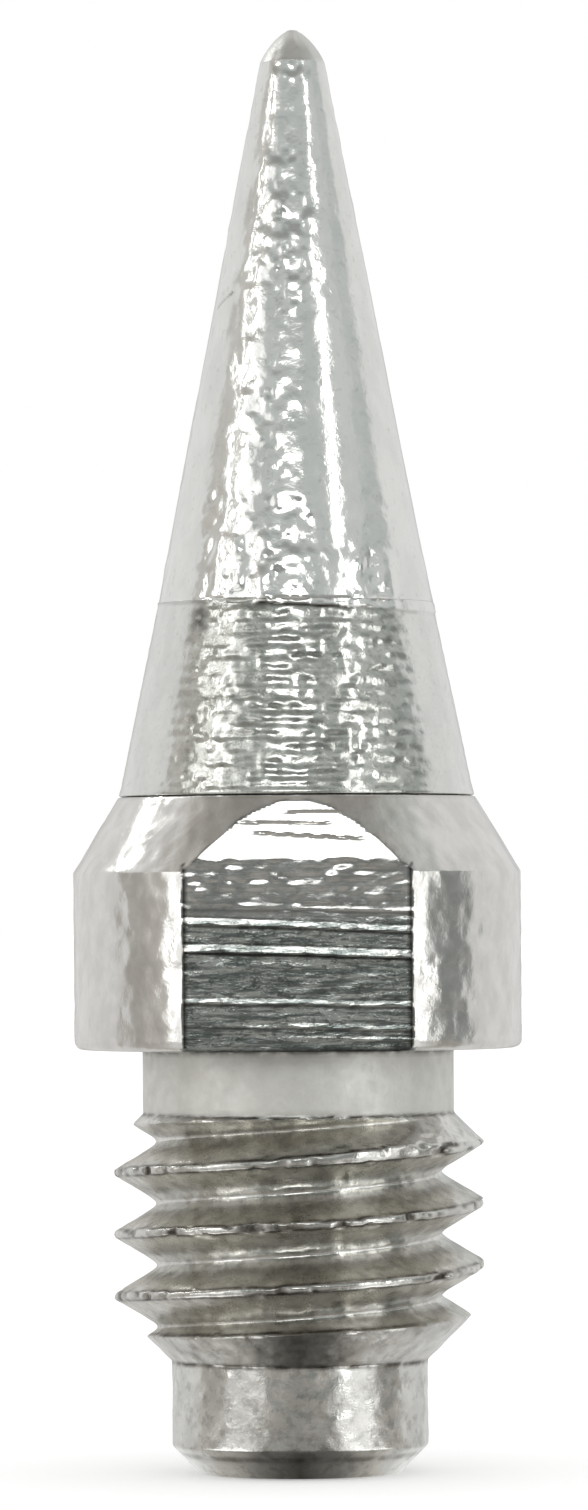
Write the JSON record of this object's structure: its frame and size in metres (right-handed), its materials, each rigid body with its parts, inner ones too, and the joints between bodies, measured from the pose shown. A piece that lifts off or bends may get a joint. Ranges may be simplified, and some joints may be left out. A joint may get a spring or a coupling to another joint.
{
  "type": "live center",
  "caption": "Screw-in live centre: a round housing with two wrench flats and a threaded shank with a pilot, and a long hardened point that turns on ball bearings.",
  "frame": {"origin": "on the axis of rotation, in the plane of the shoulder under the collar, which seats on the holder", "axes": "+Z along the axis of rotation towards the point; -Y square to one wrench flat, and +Y square to the other"},
  "size_m": [0.0116, 0.01, 0.0371],
  "materials": {
    "plated_steel": "nickel plated over milled and turned steel, slightly worn",
    "point_steel": "bright, finely pitted",
    "turned_steel": "bright turned, fine tool marks",
    "bearing_steel": "ground",
    "ball_steel": "polished",
    "shield_steel": "satin sheet",
    "spring_steel": "tempered strip",
    "cage_brass": "machined",
    "seal_rubber": "matte"
  },
  "bodies": {
    "housing": {"housing": "plated_steel", "end_plug": "plated_steel", "nose_seal": "seal_rubber", "thrust_housing_washer": "bearing_steel", "bearing_shim": "shield_steel", "front_outer_ring": "bearing_steel", "front_shields": "shield_steel", "preload_spring": "spring_steel", "rear_outer_ring": "bearing_steel", "rear_shields": "shield_steel"},
    "spindle": {"spindle": "turned_steel", "hardened_point": "point_steel", "thrust_shaft_washer": "bearing_steel", "front_inner_ring": "bearing_steel", "rear_inner_ring": "bearing_steel", "tail_washer": "shield_steel", "tail_nut": "plated_steel"},
    "thrust_cage": {"thrust_cage": "cage_brass", "thrust_ball_set": "ball_steel"},
    "front_cage": {"front_cage": "cage_brass", "front_ball_set": "ball_steel"},
    "rear_cage": {"rear_cage": "cage_brass", "rear_ball_set": "ball_steel"}
  },
  "joints": [
    {"name": "spindle_spin", "type": "hinge", "parent": "housing", "child": "spindle", "pos_m": [0, 0, 0], "axis": [0, 0, 1], "continuous": true},
    {"name": "thrust_cage_spin", "type": "hinge", "parent": "housing", "child": "thrust_cage", "pos_m": [0, 0, 0.00404], "axis": [0, 0, 1], "continuous": true},
    {"name": "front_cage_spin", "type": "hinge", "parent": "housing", "child": "front_cage", "pos_m": [0, 0, 0.00084], "axis": [0, 0, 1], "continuous": true},
    {"name": "rear_cage_spin", "type": "hinge", "parent": "housing", "child": "rear_cage", "pos_m": [0, 0, -0.00577], "axis": [0, 0, 1], "continuous": true}
  ],
  "couplings": [
    {"joint": "thrust_cage_spin", "follows": "spindle_spin", "ratio": 0.5},
    {"joint": "front_cage_spin", "follows": "spindle_spin", "ratio": 0.4111},
    {"joint": "rear_cage_spin", "follows": "spindle_spin", "ratio": 0.3857}
  ]
}
